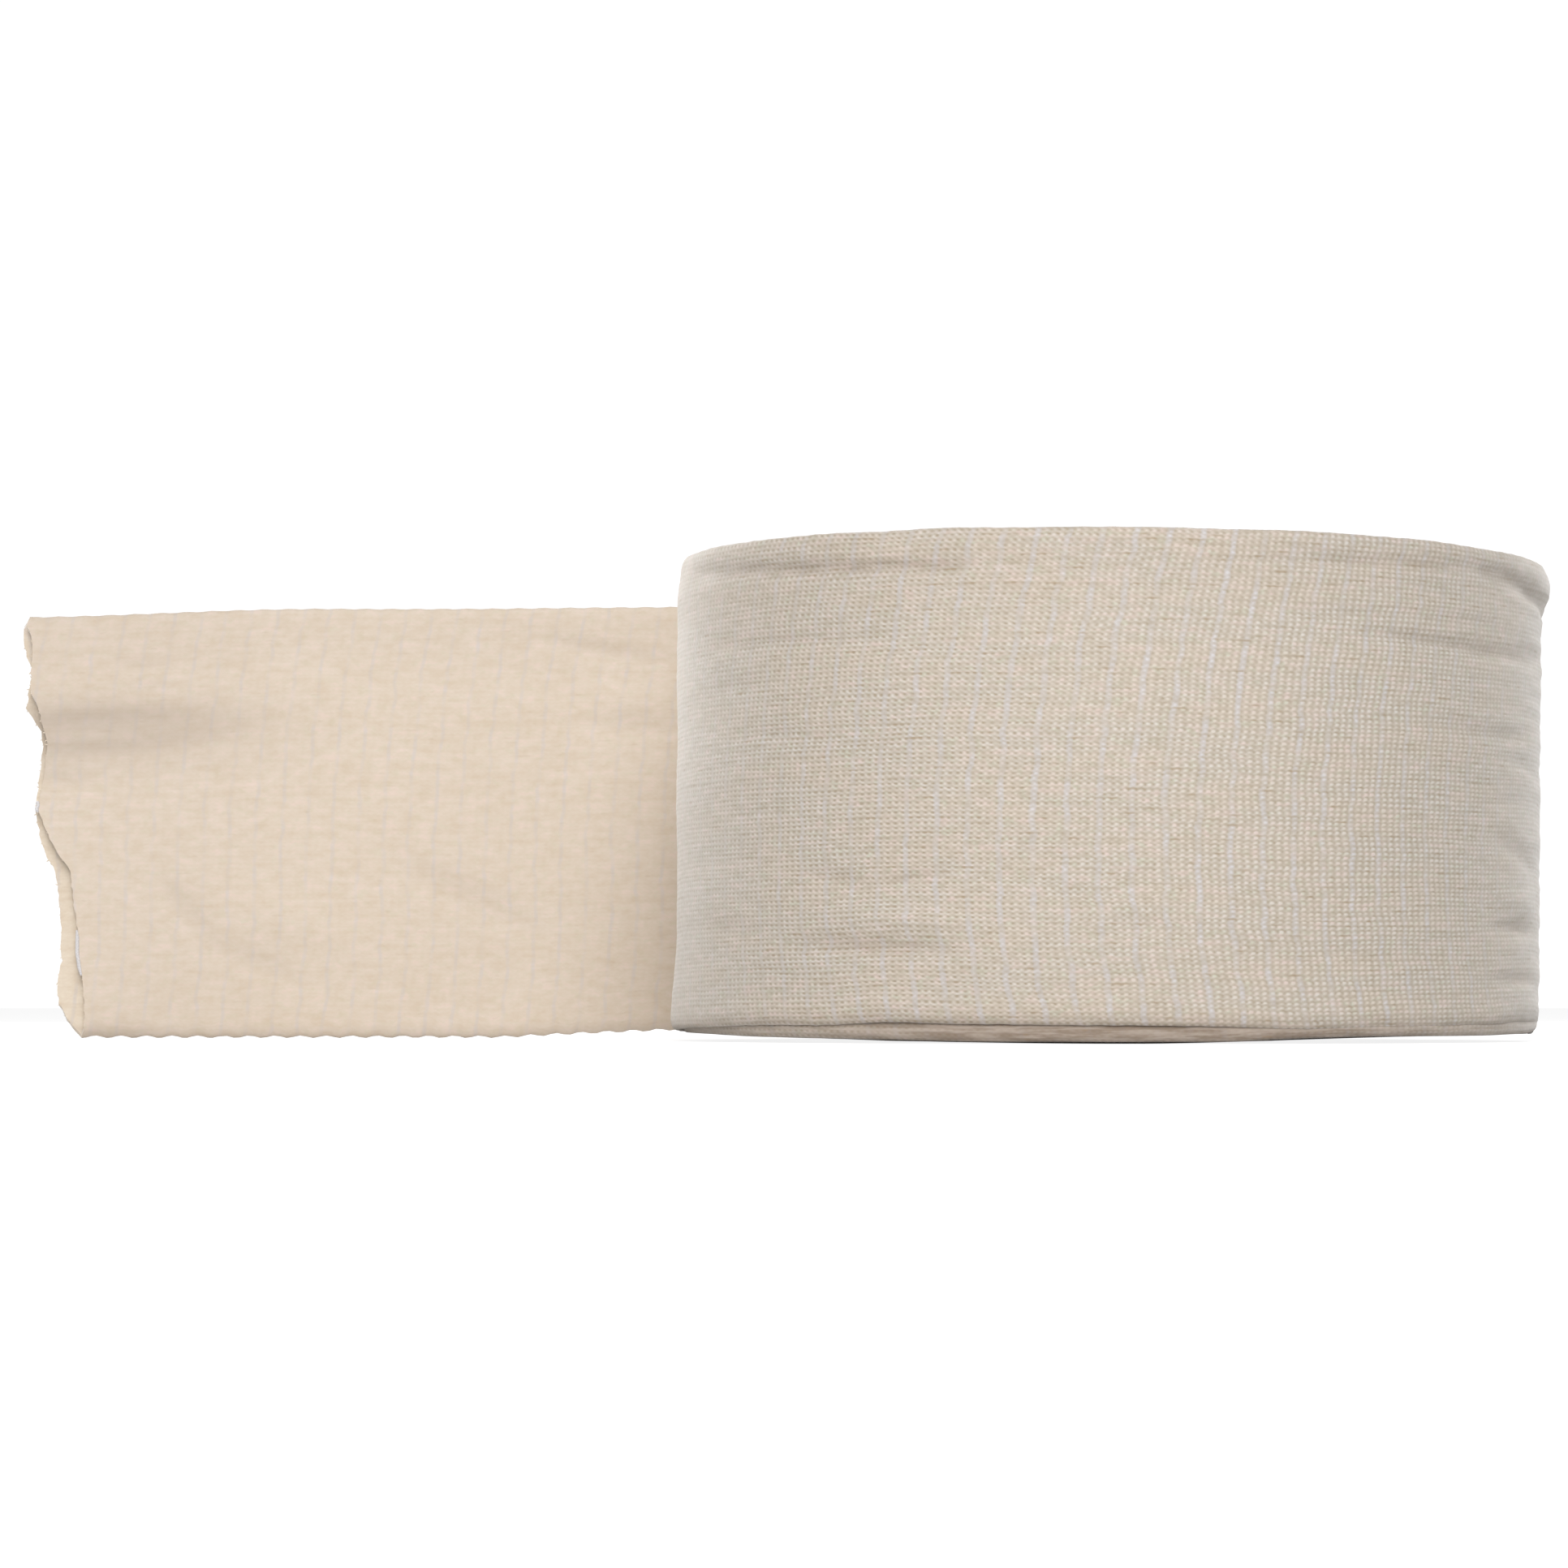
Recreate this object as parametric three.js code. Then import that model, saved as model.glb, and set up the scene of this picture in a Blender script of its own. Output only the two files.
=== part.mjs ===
// Tubular support bandage roll: one long knitted tube, pressed flat and wound on itself.
// The roll stands on a wound end. Its last turn runs on at the back as a loose end, which stands on
// its lower fold and stops at a raw, slanting cut, where the two layers of the tube gape.
// Millimetres, +Z up. The origin is where the roll's axis meets the surface that it stands on.
// Turns are counted from the outside in: 0 is at the back (+Y), where the loose end leaves the roll,
// and the winding runs on through +X, -Y and -X.
import * as THREE from 'three';

const { lerp, smoothstep, clamp } = THREE.MathUtils;

// The wound roll
const ROLL_RADIUS = 69;
const TURN = 1.5; // two layers of knit
const SINGLE_TURNS = 3; // the outer turns, each a step of its own
const COIL = 6; // further in, four turns together make one coil
const COILS = 10;
const FOLD = 0.5; // rounding of a folded edge, and the depth of the groove beside it
const STEPS = 48; // steps round one turn
const CORE_POINT = { x: 1.2, y: 0.5 }; // in the core, with a straight line to all of its rim

// Heights of the folded edges: the last turn was drawn up as it was wound
const OUTER_FOOT = 2.6;
const SECOND_FOOT = 0.4;
const OUTER_TOP = 75.4;
const INNER_TOP = 73.2;
const TOP_UNEVEN = 0.35;
const DRAWN_UP = { from: 0.72, to: 1 }; // turns over which the outermost turn drops to its neighbours

// The outer face: rows from the lower to the upper fold, and how far its edges flare
const WALL_ROWS = [0, 0.05, 0.2, 0.4, 0.6, 0.78, 0.88, 1];
const FLARES = [
  { turn: 0.25, reach: 0.09, low: 0.72, high: 0.9, out: 0.9 },
  { turn: 0.75, reach: 0.12, low: 0.22, high: 0.02, out: 0.6 },
];

// The loose end: its run from the roll, the cloth's wall and the hollow behind the cut
const GAP = 0.3;
const CLOSED_RUN = 150;
const CLOSED_STEPS = 25;
const MOUTH_STEPS = 5;
const FLAT_THICKNESS = 1.5;
const ROOT_THICKNESS = TURN - GAP;
const ROOT_RUN = 20; // over this length the root fills out to the flat thickness
const WALL = 0.7;
const FOLD_SPOT = 0.45; // flat on a fold, as a share of the half thickness
const TOUCH_DOWN = 130; // from here on the lower fold stands on the surface
const LOOSE_TOP = 75;
const CORNER_DROP = { from: 140, to: 184, by: 1.2 };
const DRIFT = { back: 2.6, from: 0, to: 184 };
const WAVE = { height: 1, length: 95, from: 5, to: 45 };
const CREASE = { depth: 1.1, level: 0.67, half: 0.12, from: 145, to: 175 };

// The raw cut, by height from fold to fold: how far each layer reaches from the roll, and the gape
const CUT = [
  { level: 0, front: 173.6, back: 173.6, gape: 0 },
  { level: 0.04, front: 173.4, back: 176.8, gape: 1.6 },
  { level: 0.1, front: 173.6, back: 178.6, gape: 3 },
  { level: 0.28, front: 175.5, back: 178.4, gape: 3.4 },
  { level: 0.41, front: 176.6, back: 180, gape: 2.4 },
  { level: 0.52, front: 181.8, back: 182.9, gape: 1.6 },
  { level: 0.62, front: 180.2, back: 182.2, gape: 1.4 },
  { level: 0.78, front: 182.4, back: 183.8, gape: 1.8 },
  { level: 0.96, front: 183.8, back: 184.6, gape: 0.8 },
  { level: 1, front: 182.4, back: 182.4, gape: 0 },
];
const LAYER_LEVELS = [0.02, 0.1, 0.22, 0.34, 0.46, 0.57, 0.67, 0.78, 0.89, 0.98];

/** A closed surface, gathered point by point and face by face, all faces pointing out. */
class Shell {
  positions = [];
  faces = [];

  point(x, y, z) {
    this.positions.push(x, y, z);
    return this.positions.length / 3 - 1;
  }

  triangle(a, b, c) {
    this.faces.push(a, b, c);
  }

  quad(a, b, c, d) {
    this.triangle(a, b, c);
    this.triangle(a, c, d);
  }

  /** Joins two rows of points by quads; the face looks to the right of a first row that runs up. */
  band(first, second) {
    for (let i = 0; i + 1 < first.length; i += 1) {
      this.quad(first[i], first[i + 1], second[i + 1], second[i]);
    }
  }

  mesh(name, material) {
    const geometry = new THREE.BufferGeometry();
    geometry.setAttribute('position', new THREE.Float32BufferAttribute(this.positions, 3));
    geometry.setIndex(this.faces);
    geometry.computeVertexNormals();
    const mesh = new THREE.Mesh(geometry, material);
    mesh.name = name;
    return mesh;
  }
}

/** Radius of the outer side of the winding, by turns counted from the outside in. */
function windingRadius(turns) {
  const single = Math.min(turns, SINGLE_TURNS);
  return ROLL_RADIUS - TURN * single - COIL * (turns - single);
}

/** Height of the lower folded edge. */
function footHeight(turns) {
  const inner = SECOND_FOOT * (1 - smoothstep(turns, 1.4, 2));
  return lerp(OUTER_FOOT, inner, smoothstep(turns, DRAWN_UP.from, DRAWN_UP.to));
}

/** Height of the upper folded edge. */
function topHeight(turns) {
  const inner = INNER_TOP + TOP_UNEVEN * (Math.sin(2.3 * turns) + 0.5 * Math.sin(9.1 * turns));
  return lerp(OUTER_TOP, inner, smoothstep(turns, DRAWN_UP.from, DRAWN_UP.to));
}

/** How far the outermost turn stands proud of its spiral, by turns and by height from fold to fold. */
function flare(turns, level) {
  let out = 0;
  for (const { turn, reach, low, high, out: most } of FLARES) {
    const near = 1 - smoothstep(Math.abs(turns - turn), 0, reach);
    const upward = high > low ? 1 : -1;
    out += most * near * smoothstep(upward * level, upward * low, upward * high);
  }
  return out;
}

/** One wound end of the roll, as a spiral of folded edges with a groove between them. */
class WoundEnd {
  constructor(shell, height, inward) {
    this.shell = shell;
    this.height = height;
    this.inward = inward; // -1 at the top, 1 at the foot
    this.turns = SINGLE_TURNS + COILS;
    this.grooves = [];
    this.outerLands = [];
    this.innerLands = [];
    const lastSection = (this.turns - 1) * STEPS;
    for (let i = 0; i <= this.turns * STEPS; i += 1) {
      this.grooves.push(this.#place(i, 0, height(i / STEPS) + inward * FOLD));
    }
    for (let i = 0; i <= lastSection; i += 1) {
      const width = windingRadius(i / STEPS) - windingRadius(i / STEPS + 1);
      const round = Math.min(FOLD, width / 3);
      this.outerLands.push(this.#place(i, round, height(i / STEPS)));
      this.innerLands.push(this.#place(i, width - round, height(i / STEPS)));
    }
  }

  /** A point at a step of the winding, a distance in from its outer side. */
  #place(step, inset, z) {
    const turns = step / STEPS;
    const angle = turns * 2 * Math.PI;
    const proud = turns <= 1 ? flare(turns, this.inward < 0 ? 1 : 0) * (1 - inset / TURN) : 0;
    const radius = windingRadius(turns) - inset + proud;
    return this.shell.point(radius * Math.sin(angle), radius * Math.cos(angle), z);
  }

  #strip(first, second) {
    if (this.inward > 0) {
      this.shell.band(first, second);
    } else {
      this.shell.band(second, first);
    }
  }

  /** The folded edges, from the outermost turn to the core. */
  addTurns() {
    const sections = (this.turns - 1) * STEPS;
    this.#strip(this.grooves.slice(0, sections + 1), this.outerLands);
    this.#strip(this.outerLands, this.innerLands);
    this.#strip(this.innerLands, this.grooves.slice(STEPS));
  }

  /** The core inside the last groove, level with the coils round it. */
  addCore() {
    const last = (this.turns - 1) * STEPS;
    const rim = [...this.grooves.slice(last), this.innerLands[last], this.outerLands[last]];
    rim.push(rim[0]);
    const at = new THREE.Vector2(CORE_POINT.x, CORE_POINT.y);
    const z = this.height(this.turns);
    const land = rim.slice(0, -1).map((index) => {
      const [x, y] = this.shell.positions.slice(3 * index, 3 * index + 2);
      const inset = new THREE.Vector2(x, y).sub(at);
      inset.setLength(inset.length() - FOLD).add(at);
      return this.shell.point(inset.x, inset.y, z);
    });
    land.push(land[0]);
    this.#strip(rim, land);
    const middle = this.shell.point(at.x, at.y, z);
    for (let i = 0; i + 1 < land.length; i += 1) {
      const [a, b] = this.inward > 0 ? [land[i], land[i + 1]] : [land[i + 1], land[i]];
      this.shell.triangle(middle, a, b);
    }
  }
}

/** The wound roll: two spiral ends, the outer face of the last turn, and the step where it leaves. */
function woundRoll(material) {
  const shell = new Shell();
  const foot = new WoundEnd(shell, footHeight, 1);
  const top = new WoundEnd(shell, topHeight, -1);
  const columns = [];
  for (let i = 0; i <= STEPS; i += 1) {
    const turns = i / STEPS;
    const angle = turns * 2 * Math.PI;
    const low = footHeight(turns) + FOLD;
    const high = topHeight(turns) - FOLD;
    const inner = WALL_ROWS.slice(1, -1).map((level) => {
      const radius = windingRadius(turns) + flare(turns, level);
      return shell.point(radius * Math.sin(angle), radius * Math.cos(angle), lerp(low, high, level));
    });
    columns.push([foot.grooves[i], ...inner, top.grooves[i]]);
  }
  for (let i = 0; i < STEPS; i += 1) {
    shell.band(columns[i], columns[i + 1]);
  }
  for (const end of [foot, top]) {
    end.addTurns();
    end.addCore();
  }
  const [outside, inside] = [columns[0], columns[STEPS]];
  shell.band(inside, outside);
  shell.quad(outside.at(-1), inside.at(-1), top.innerLands[0], top.outerLands[0]);
  shell.quad(inside[0], outside[0], foot.outerLands[0], foot.innerLands[0]);
  return shell.mesh('wound_roll', material);
}

/** The row of the cut at a height from fold to fold, between the rows of its table. */
function cutAt(level) {
  const next = Math.max(1, CUT.findIndex((row) => row.level >= level));
  const [below, above] = [CUT[next - 1], CUT[next]];
  const t = clamp((level - below.level) / (above.level - below.level), 0, 1);
  return {
    front: lerp(below.front, above.front, t),
    back: lerp(below.back, above.back, t),
    gape: lerp(below.gape, above.gape, t),
  };
}

/** The closed loop round the flat tube: up the front layer, over the fold, down the back layer. */
function sectionLoop() {
  const front = LAYER_LEVELS.map((level) => ({ side: -1, level }));
  const back = LAYER_LEVELS.map((level) => ({ side: 1, level })).reverse();
  const upper = [{ side: -FOLD_SPOT, level: 1 }, { side: FOLD_SPOT, level: 1 }];
  const lower = [{ side: FOLD_SPOT, level: 0 }, { side: -FOLD_SPOT, level: 0 }];
  return [...front, ...upper, ...back, ...lower];
}

/** Where the middle of the loose end stands, by distance from the roll and height from fold to fold. */
function looseMiddle(along, level) {
  const root = ROLL_RADIUS - ROOT_THICKNESS / 2;
  const drift = DRIFT.back * smoothstep(along, DRIFT.from, DRIFT.to);
  const started = smoothstep(along, WAVE.from, WAVE.to);
  const wave = WAVE.height * started * Math.sin((2 * Math.PI * along) / WAVE.length);
  const near = 1 - smoothstep(Math.abs(level - CREASE.level), 0, CREASE.half);
  const crease = CREASE.depth * near * smoothstep(along, CREASE.from, CREASE.to);
  return root + drift + wave + crease;
}

/** A point of the loose end's skin, or of the lining of its hollow when inset by the wall. */
function loosePoint(shell, { side, level }, along, open, inset) {
  const thickness = lerp(ROOT_THICKNESS, FLAT_THICKNESS, smoothstep(along, 0, ROOT_RUN));
  const half = Math.max(thickness / 2, WALL + open / 2) - inset;
  const touching = clamp(along / TOUCH_DOWN, 0, 1);
  const foot = OUTER_FOOT * (1 - touching * touching) + inset;
  const drop = CORNER_DROP.by * smoothstep(along, CORNER_DROP.from, CORNER_DROP.to);
  const top = lerp(OUTER_TOP, LOOSE_TOP, touching) - drop - inset;
  return shell.point(-GAP - along, looseMiddle(along, level) + side * half, lerp(foot, top, level));
}

/** The loose end: a flat tube, closed where it meets the roll and gaping at the cut. */
function looseEnd(material) {
  const shell = new Shell();
  const loop = sectionLoop();
  const ring = (distance, opening, inset) => {
    const points = loop.map((spot) => {
      const cut = cutAt(spot.level);
      const length = lerp(cut.front, cut.back, (spot.side + 1) / 2);
      return loosePoint(shell, spot, distance(length), opening(cut.gape), inset);
    });
    return [...points, points[0]];
  };
  const skin = [];
  for (let i = 0; i < CLOSED_STEPS; i += 1) {
    skin.push(ring(() => (CLOSED_RUN * i) / CLOSED_STEPS, () => 0, 0));
  }
  const lining = [];
  for (let i = 0; i <= MOUTH_STEPS; i += 1) {
    const share = i / MOUTH_STEPS;
    const distance = (length) => lerp(CLOSED_RUN, length, share);
    const opening = (gape) => Math.max(FLAT_THICKNESS - 2 * WALL, gape * share * share);
    skin.push(ring(distance, opening, 0));
    lining.push(ring(distance, opening, WALL));
  }
  for (let i = 0; i + 1 < skin.length; i += 1) {
    shell.band(skin[i], skin[i + 1]);
  }
  shell.band(skin.at(-1), lining.at(-1));
  for (let i = 0; i + 1 < lining.length; i += 1) {
    shell.band(lining[i + 1], lining[i]);
  }
  closeLoop(shell, lining[0], false);
  closeLoop(shell, skin[0], true);
  return shell.mesh('loose_end', material);
}

/** Closes a section loop with quads from the front layer to the back layer. */
function closeLoop(shell, ring, facesRoll) {
  const count = ring.length - 1;
  const half = count / 2;
  const front = [ring[count - 1], ...ring.slice(0, half - 1)];
  const back = [ring[count - 2], ...ring.slice(half - 1, count - 2).reverse()];
  if (facesRoll) {
    shell.band(back, front);
  } else {
    shell.band(front, back);
  }
}

const rollKnit = new THREE.MeshStandardMaterial({ color: 0xcfc5b9, roughness: 0.95, metalness: 0 });
const looseKnit = new THREE.MeshStandardMaterial({ color: 0xe0d0bd, roughness: 0.95, metalness: 0 });

const bandage = new THREE.Group();
bandage.add(woundRoll(rollKnit), looseEnd(looseKnit));

export default bandage;
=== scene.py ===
"""Dresses the tubular support bandage roll: its wound turns, its last turn and loose end, and the raw cut.

The cloth is one knitted tube, pressed flat. Along it, a distance is counted from the place at the back of the
roll where the loose end leaves: up towards the cut, down into the winding. Turns are counted from the outside
in. Round the tube, a place is a layer and a level, from 0 on the lower fold to 1 on the upper fold.
"""

from __future__ import annotations

import logging
import math
import random
from dataclasses import asdict, astuple, dataclass, field, replace
from enum import Enum
from itertools import starmap
from typing import Sequence

import bpy
from mathutils import Matrix, Vector, noise

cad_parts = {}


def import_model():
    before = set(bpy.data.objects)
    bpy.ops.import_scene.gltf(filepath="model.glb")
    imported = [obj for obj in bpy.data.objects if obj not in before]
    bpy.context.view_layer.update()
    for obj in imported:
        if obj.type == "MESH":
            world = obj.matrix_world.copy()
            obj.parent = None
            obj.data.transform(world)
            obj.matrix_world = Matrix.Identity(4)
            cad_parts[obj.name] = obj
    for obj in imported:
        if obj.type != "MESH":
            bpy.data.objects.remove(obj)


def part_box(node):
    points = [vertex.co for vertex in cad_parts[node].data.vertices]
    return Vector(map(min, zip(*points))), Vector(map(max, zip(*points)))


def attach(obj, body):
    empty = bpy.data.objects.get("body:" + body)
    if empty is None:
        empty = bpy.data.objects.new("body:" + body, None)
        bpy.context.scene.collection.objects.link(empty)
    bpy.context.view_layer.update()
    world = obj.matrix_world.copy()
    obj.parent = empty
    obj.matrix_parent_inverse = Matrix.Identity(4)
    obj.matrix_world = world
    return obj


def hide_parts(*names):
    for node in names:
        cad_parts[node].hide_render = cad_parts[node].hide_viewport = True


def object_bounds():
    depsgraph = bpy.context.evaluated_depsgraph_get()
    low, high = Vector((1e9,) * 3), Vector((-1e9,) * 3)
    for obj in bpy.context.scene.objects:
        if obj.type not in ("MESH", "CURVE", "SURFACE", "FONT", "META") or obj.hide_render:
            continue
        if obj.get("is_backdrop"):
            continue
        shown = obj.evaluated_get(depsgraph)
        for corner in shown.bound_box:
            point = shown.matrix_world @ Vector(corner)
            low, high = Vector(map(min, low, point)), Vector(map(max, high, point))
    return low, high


LOG = logging.getLogger("bandage")

MM = 0.001
FULL_TURN = 2 * math.pi
KNIT_MAP = "knit"

# The knit: courses from one elastic yarn to the next, wales across one layer, and elastic yarns' distances
COURSES_PER_ELASTIC = 4
WALES_PER_LAYER = 100
ROLL_ELASTIC_PITCH = 4.86 * MM
LOOSE_ELASTIC_PITCH = 4.45 * MM

Point = tuple[float, float, float]
Colour = tuple[float, float, float, float]
Pair = tuple[float, float]
Ring = tuple[list[int], list[Pair]]
Object = bpy.types.Object
Socket = bpy.types.NodeSocket


def lerp(a: float, b: float, share: float) -> float:
    """The number a share of the way from a to b."""
    return a + (b - a) * share


def smoothstep(x: float, low: float, high: float) -> float:
    """A soft step from 0 at low to 1 at high."""
    t = min(max((x - low) / (high - low), 0.0), 1.0)
    return t * t * (3 - 2 * t)


def hump(x: float, middle: float, half: float) -> float:
    """A soft hump: 1 at its middle and 0 from half a width away."""
    return 1 - smoothstep(abs(x - middle), 0.0, half)


def ripple(x: float, y: float, seed: float) -> float:
    """Smooth noise between about -1 and 1."""
    return noise.noise(Vector((x, y, seed)))


def linear(red: int, green: int, blue: int) -> Colour:
    """A display colour, from 0 to 255, as the shader's linear colour."""

    def channel(value: int) -> float:
        share = value / 255
        return share / 12.92 if share <= 0.04045 else ((share + 0.055) / 1.055) ** 2.4

    return (channel(red), channel(green), channel(blue), 1.0)


class Layer(Enum):
    """The two layers of the flat tube, by the side of the winding that they face."""

    OUTWARD = 1
    INWARD = -1


Place = tuple[Layer, float]


@dataclass(frozen=True)
class Winding:
    """The spiral that the flat tube is wound on, counted in turns from the outside in."""

    radius: float
    pitch: float = 1.5 * MM
    thickness: float = 1.4 * MM

    @property
    def middle_radius(self) -> float:
        """Radius of the middle of the cloth where the loose end leaves."""
        return self.radius - self.thickness / 2

    def length_to(self, turns: float) -> float:
        """Length of cloth from where the loose end leaves to a number of turns in."""
        return FULL_TURN * (self.middle_radius * turns - self.pitch * turns * turns / 2)

    def turns_at(self, length: float) -> float:
        """The number of turns in at a length of cloth: the inverse of length_to."""
        inside = self.middle_radius**2 - self.pitch * length / math.pi
        return (self.middle_radius - math.sqrt(max(inside, 0.0))) / self.pitch

    def place(self, turns: float, proud: float, height: float) -> Point:
        """A point beside the middle of the cloth.

        Args:
            turns: turns from the outside in.
            proud: distance outwards from the middle of the cloth.
            height: height above the surface.

        Returns:
            The point in the row frame.
        """
        angle = FULL_TURN * turns
        radius = self.middle_radius - self.pitch * turns + proud
        return (radius * math.sin(angle), radius * math.cos(angle), height)


@dataclass(frozen=True)
class Heights:
    """Heights of the two folds of the cloth along the winding."""

    outer_top: float
    outer_foot: float = 2.6 * MM
    second_foot: float = 0.7 * MM
    inner_top: float = 73.2 * MM
    uneven_top: float = 0.75 * MM
    uneven_foot: float = 0.35 * MM
    uneven_length: float = 55 * MM
    top_drops: Pair = (0.80, 1.0)
    foot_drops: Pair = (0.64, 0.78)
    top_rise: float = 0.65 * MM
    top_tilt: float = 0.85 * MM
    side_lift: float = 1.35 * MM
    right_lift: float = 0.4 * MM
    rim_lift: float = 0.5 * MM
    # Rises of the last turn's lower fold: middle and half the width in turns, and height in millimetres
    outer_rises: tuple[Point, ...] = (
        (0.58, 0.05, 0.4),
        (0.31, 0.05, 0.4),
        (0.44, 0.06, -0.4),
        (0.25, 0.045, -1.5),
    )

    def foot(self, turns: float, length: float, sideways: float) -> float:
        """Height of the lower fold: the base of the roll is hollow from side to side, and uneven.

        Args:
            turns: turns from the outside in.
            length: length of cloth from the outside in.
            sideways: distance to the right of the axis, as a share of the roll's radius.

        Returns:
            The height above the surface.
        """
        lift = self.side_lift * sideways**2 + self.right_lift * hump(sideways, 0.5, 0.5)
        lift += self.rim_lift * smoothstep(sideways, 0.92, 1.0)
        wander = self.uneven_foot * abs(ripple(length / self.uneven_length, 0.0, 3.7))
        second = self.second_foot * hump(turns, 1.2, 0.8) * abs(ripple(turns * 9, 2.0, 6.1)) * 2
        rises = sum(rise * hump(turns, middle, half) for middle, half, rise in self.outer_rises)
        outer = self.outer_foot + rises * MM
        return lerp(outer, lift + wander + second, smoothstep(turns, *self.foot_drops))

    def top(self, turns: float, length: float) -> float:
        """Height of the upper fold, by turns and by length of cloth from the outside in."""
        wander = self.uneven_top * ripple(length / self.uneven_length, 5.0, 8.1)
        raised = self.top_rise - self.top_tilt * math.sin(FULL_TURN * turns)
        outer = self.outer_top + raised * smoothstep(turns, 0.0, 0.3)
        return lerp(outer, self.inner_top + wander, smoothstep(turns, *self.top_drops))


@dataclass
class ClothMesh:
    """Gathers the points, faces, knit coordinates and shading values of one piece of cloth."""

    name: str
    points: list[Point] = field(default_factory=list)
    values: dict[str, list[float]] = field(default_factory=dict)
    faces: list[tuple[int, ...]] = field(default_factory=list)
    corners: list[Pair] = field(default_factory=list)
    sharp_degrees: float = 50.0

    def ring(self, places: Sequence[Point], knit: list[Pair], shades: dict[str, list[float]]) -> Ring:
        """Adds a ring of points with their shading values and returns it with its knit coordinates."""
        start = len(self.points)
        self.points.extend(places)
        for key, numbers in shades.items():
            self.values.setdefault(key, []).extend(numbers)
        return list(range(start, len(self.points))), knit

    def tube(self, rings: Sequence[Ring]) -> None:
        """Joins closed rings by quads, one ring after another."""
        for (near, near_knit), (far, far_knit) in zip(rings, rings[1:]):
            for i, point in enumerate(near):
                j = (i + 1) % len(near)
                self.faces.append((point, far[i], far[j], near[j]))
                self.corners.extend([near_knit[i], far_knit[i], far_knit[i + 1], near_knit[i + 1]])

    def cap(self, end: Ring, flip: bool) -> None:
        """Closes the flat ring at an end with quads between its layers, turned round if flip is True."""
        ring, knit = end
        count = len(ring)
        for low in range(count // 2):
            high = low + 1
            corners = (low, high, (count - high) % count, (count - low) % count)
            quad = [ring[corner] for corner in corners]
            keep = [k for k in range(4) if quad.index(quad[k]) == k]
            if flip:
                keep.reverse()
            self.faces.append(tuple(quad[k] for k in keep))
            self.corners.extend(knit[corners[k]] for k in keep)

    def build(self) -> Object:
        """Makes the mesh and its object, smooth but for sharp edges, and returns the object."""
        mesh = bpy.data.meshes.new(self.name)
        mesh.from_pydata(self.points, [], self.faces)
        layer = mesh.uv_layers.new(name=KNIT_MAP)
        layer.data.foreach_set("uv", [number for corner in self.corners for number in corner])
        for key, numbers in self.values.items():
            attribute = mesh.attributes.new(key, "FLOAT", "POINT")
            attribute.data.foreach_set("value", numbers)
        mesh.validate()
        mesh.update()
        piece = put(self.name, mesh)
        shade(piece, self.sharp_degrees)
        return piece


def put(name: str, data: bpy.types.ID) -> Object:
    """Adds an object to the scene and returns it."""
    made = bpy.data.objects.new(name, data)
    bpy.context.scene.collection.objects.link(made)
    return made


def select(pieces: Sequence[Object]) -> None:
    """Selects these pieces and no others, and makes the first one active."""
    bpy.ops.object.select_all(action="DESELECT")
    for piece in pieces:
        piece.select_set(True)
    bpy.context.view_layer.objects.active = pieces[0]


def shade(piece: Object, sharp_degrees: float) -> None:
    """Shades a piece smooth, except over edges sharper than an angle."""
    select([piece])
    bpy.ops.object.shade_smooth_by_angle(angle=math.radians(sharp_degrees))


def join(pieces: Sequence[Object], name: str) -> Object:
    """Joins modelled pieces into one of this name, smooth but for its ends, and returns it."""
    select(pieces)
    bpy.ops.object.join()
    piece = bpy.context.active_object
    piece.name = piece.data.name = name
    shade(piece, 60.0)
    return piece


def draw_out(steps: Sequence[tuple[Sequence[float], float]]) -> None:
    """Draws the active object's ring out in steps: a shift, then a change of size."""
    bpy.ops.object.mode_set(mode="EDIT")
    bpy.ops.mesh.select_all(action="SELECT")
    for shift, size in steps:
        bpy.ops.mesh.extrude_region_move(TRANSFORM_OT_translate={"value": shift})
        bpy.ops.transform.resize(value=(size, size, 1.0))
    bpy.ops.mesh.select_all(action="SELECT")
    bpy.ops.mesh.normals_make_consistent(inside=False)
    bpy.ops.object.mode_set(mode="OBJECT")


def courses_at(along: float, lean: float) -> float:
    """The course number at a distance along the cloth, once the lean of its course is taken off."""
    at = along - lean
    pitch = ROLL_ELASTIC_PITCH if at < 0 else LOOSE_ELASTIC_PITCH
    return COURSES_PER_ELASTIC * at / pitch


def wales_at(layer: Layer, level: float) -> float:
    """The wale number round the tube, from the lower fold up the outward layer and down the inward one."""
    return WALES_PER_LAYER * (level if layer is Layer.OUTWARD else 2 - level)


@dataclass(frozen=True)
class Bow:
    """How the courses lean along the cloth, because the tube was drawn round as it was wound.

    The outward layer leans towards the cut at both folds. The inward layer carries on from the upper fold
    and comes back to the lower fold two elastic yarns on, so the yarns still meet there.
    """

    waist: float = 0.33
    outward_top: float = 6.0 * MM
    outward_foot: float = 2.1 * MM
    inward_middle: float = 10.2 * MM

    def lean(self, layer: Layer, level: float) -> float:
        """How far a course has moved towards the cut at a level of a layer."""
        up = max(0.0, (level - self.waist) / (1 - self.waist)) ** 2
        down = max(0.0, (self.waist - level) / self.waist) ** 2
        if layer is Layer.OUTWARD:
            return self.outward_top * up + self.outward_foot * down
        top = self.outward_top - self.inward_middle
        foot = self.outward_foot + 2 * ROLL_ELASTIC_PITCH - self.inward_middle
        return self.inward_middle + top * up + foot * down

    def knit(self, loop: Sequence[Place], alongs: Sequence[float]) -> list[Pair]:
        """Knit coordinates round a ring, closed by its first place a full round on."""
        spots = [
            (courses_at(along, self.lean(layer, level)), wales_at(layer, level))
            for (layer, level), along in zip(loop, alongs)
        ]
        closing = courses_at(alongs[0], self.lean(Layer.INWARD, 0.0))
        return spots + [(closing, 2.0 * WALES_PER_LAYER)]


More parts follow.
